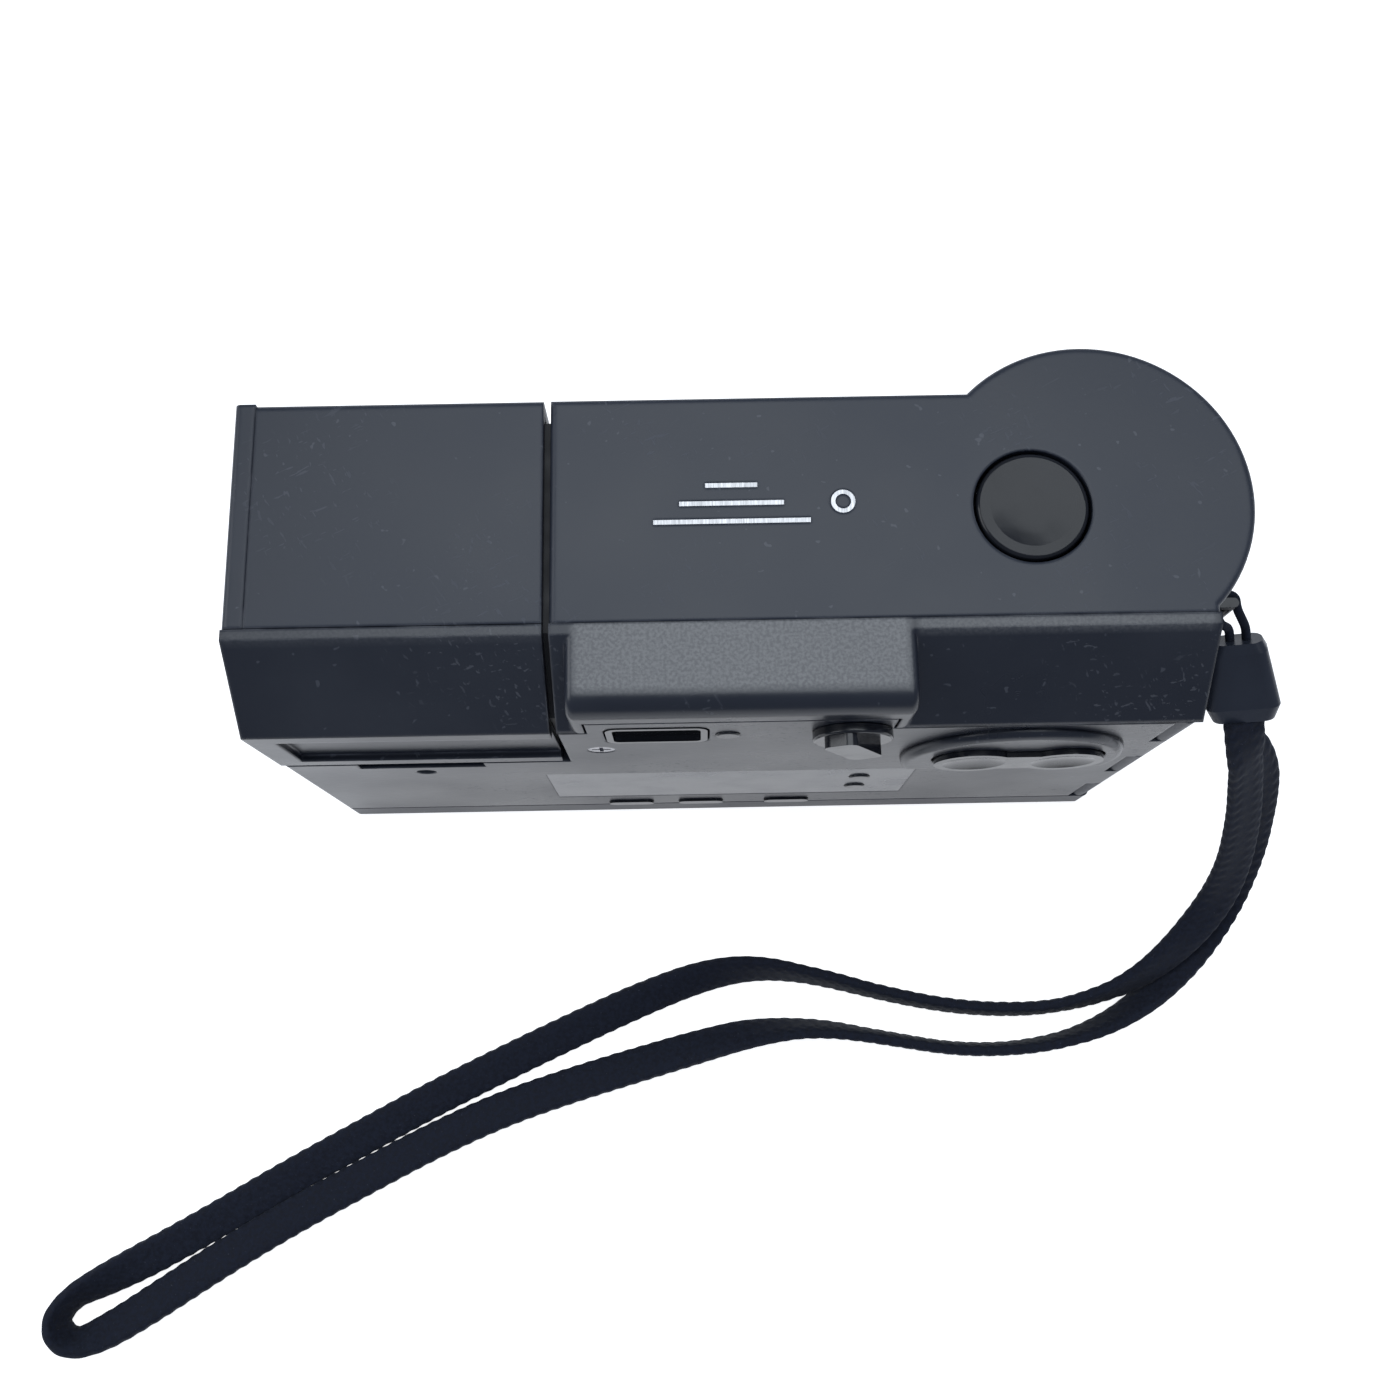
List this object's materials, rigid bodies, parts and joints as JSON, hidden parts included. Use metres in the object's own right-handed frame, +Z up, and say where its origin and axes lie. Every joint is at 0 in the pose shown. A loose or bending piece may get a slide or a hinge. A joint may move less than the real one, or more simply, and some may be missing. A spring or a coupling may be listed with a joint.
{
  "type": "compact film camera",
  "caption": "Compact zoom film camera with a sliding switch and flash block, round upright grip, hinged film door with display and buttons, and a wrist strap.",
  "frame": {"origin": "centre of the tripod socket's mouth on the base, in the middle of the main box", "axes": "+X to the grip, +Y out of the lens, +Z up"},
  "size_m": [0.1724, 0.1202, 0.0651],
  "materials": {
    "black_body": "satin black",
    "rear_plastic": "fine-grained black",
    "gloss_black": "gloss black",
    "inner_plastic": "matt black",
    "lens_black": "satin black",
    "glass": "clear",
    "display_film": "smoked window",
    "display_grey": "display",
    "reflector": "bright",
    "silver": "bright",
    "steel": "satin",
    "lamp": "translucent",
    "board_green": "solder mask",
    "metal_can": "satin",
    "strap_webbing": "woven",
    "ferrule_plastic": "moulded"
  },
  "bodies": {
    "body": {"autofocus_window": "glass", "base_plate": "black_body", "base_screws": "steel", "battery": "metal_can", "chassis": "inner_plastic", "door_hinge_pin": "steel", "eyepiece_frame": "gloss_black", "eyepiece_glass": "glass", "film_cassette": "metal_can", "flash_capacitor": "metal_can", "front_cover": "black_body", "grip_cover": "black_body", "lens_housing": "inner_plastic", "main_board": "board_green", "rear_upper_cover": "rear_plastic", "shutter_button_seat": "inner_plastic", "shutter_button_spring": "steel", "slider_bed": "inner_plastic", "strap_ferrule": "ferrule_plastic", "strap_lug": "steel", "strap_thin_loop": "strap_webbing", "top_cover": "black_body", "top_trim": "silver", "tripod_bush": "steel", "viewfinder_front_window": "glass", "viewfinder_tube": "inner_plastic", "wrist_strap": "strap_webbing", "zoom_motor": "metal_can"},
    "slider": {"slider_top_cover": "black_body", "slider_end_cap": "black_body", "slider_rear_cover": "rear_plastic", "slider_front_cover": "black_body", "flash_window": "glass", "flash_reflector": "reflector", "flash_tube": "glass"},
    "shutter_button": {"shutter_button": "gloss_black"},
    "zoom_rocker": {"zoom_rocker": "gloss_black"},
    "mode_knob": {"mode_knob": "gloss_black"},
    "date_button": {"date_button": "gloss_black"},
    "rewind_button": {"rewind_button": "gloss_black"},
    "left_data_button": {"left_data_button": "gloss_black"},
    "middle_data_button": {"middle_data_button": "gloss_black"},
    "right_data_button": {"right_data_button": "gloss_black"},
    "door": {"rear_door": "rear_plastic", "rocker_pod": "rear_plastic", "display_window": "display_film", "display_module": "display_grey", "pressure_plate": "inner_plastic", "plate_springs": "steel", "door_screw": "steel", "status_lamp": "lamp"},
    "door_latch": {"door_latch": "gloss_black"},
    "barrel_outer": {"lens_barrel_outer": "lens_black"},
    "barrel_inner": {"lens_barrel_inner": "lens_black", "lens_front_ring": "lens_black", "front_lens": "glass", "rear_lens": "glass"},
    "take_up_spool": {"take_up_spool": "inner_plastic"},
    "rewind_fork": {"rewind_fork": "inner_plastic"},
    "battery_cap": {"battery_cap": "gloss_black"}
  },
  "joints": [
    {"name": "slider_slide", "type": "slide", "parent": "body", "child": "slider", "axis": [-1, 0, 0], "range_m": [0, 0.02]},
    {"name": "shutter_press", "type": "slide", "parent": "body", "child": "shutter_button", "axis": [0, 0, -1], "range_m": [0, 0.001], "stiffness_N_per_m": 600, "springref_m": -0.0005, "deforming": ["shutter_button_spring"]},
    {"name": "door_swing", "type": "hinge", "parent": "body", "child": "door", "pos_m": [0.0549, -0.0176, 0.03], "axis": [0, 0, 1], "range_deg": [0, 90]},
    {"name": "door_latch_slide", "type": "slide", "parent": "body", "child": "door_latch", "axis": [0, 0, 1], "range_m": [0, 0.004]},
    {"name": "zoom_rock", "type": "hinge", "parent": "door", "child": "zoom_rocker", "pos_m": [0.0374, -0.0196, 0.0425], "axis": [0, 0, 1], "range_deg": [-2, 2], "stiffness_Nm_per_rad": 0.05},
    {"name": "mode_turn", "type": "hinge", "parent": "door", "child": "mode_knob", "pos_m": [0.0154, -0.0196, 0.0544], "axis": [0, -1, 0], "range_deg": [0, 180]},
    {"name": "barrel_extend", "type": "slide", "parent": "body", "child": "barrel_outer", "axis": [0, 1, 0], "range_m": [0, 0.012]},
    {"name": "barrel_inner_extend", "type": "slide", "parent": "barrel_outer", "child": "barrel_inner", "axis": [0, 1, 0], "range_m": [0, 0.01]},
    {"name": "spool_turn", "type": "hinge", "parent": "body", "child": "take_up_spool", "pos_m": [0.0315, -0.0079, 0.025], "axis": [0, 0, 1], "continuous": true},
    {"name": "rewind_turn", "type": "hinge", "parent": "body", "child": "rewind_fork", "pos_m": [-0.0388, -0.0032, 0.05], "axis": [0, 0, 1], "continuous": true},
    {"name": "battery_cap_turn", "type": "hinge", "parent": "body", "child": "battery_cap", "pos_m": [0.044, 0.0132, 0.0015], "axis": [0, 0, 1], "range_deg": [0, 60]},
    {"name": "date_press", "type": "slide", "parent": "door", "child": "date_button", "axis": [0, 1, 0], "range_m": [0, 0.0003], "stiffness_N_per_m": 300, "springref_m": -0.0003},
    {"name": "rewind_press", "type": "slide", "parent": "door", "child": "rewind_button", "axis": [0, 1, 0], "range_m": [0, 0.0003], "stiffness_N_per_m": 300, "springref_m": -0.0003},
    {"name": "left_data_press", "type": "slide", "parent": "door", "child": "left_data_button", "axis": [0, 1, 0], "range_m": [0, 0.0003], "stiffness_N_per_m": 300, "springref_m": -0.0003},
    {"name": "middle_data_press", "type": "slide", "parent": "door", "child": "middle_data_button", "axis": [0, 1, 0], "range_m": [0, 0.0003], "stiffness_N_per_m": 300, "springref_m": -0.0003},
    {"name": "right_data_press", "type": "slide", "parent": "door", "child": "right_data_button", "axis": [0, 1, 0], "range_m": [0, 0.0003], "stiffness_N_per_m": 300, "springref_m": -0.0003}
  ],
  "couplings": [
    {"joint": "barrel_inner_extend", "follows": "barrel_extend", "ratio": 0.83333}
  ]
}
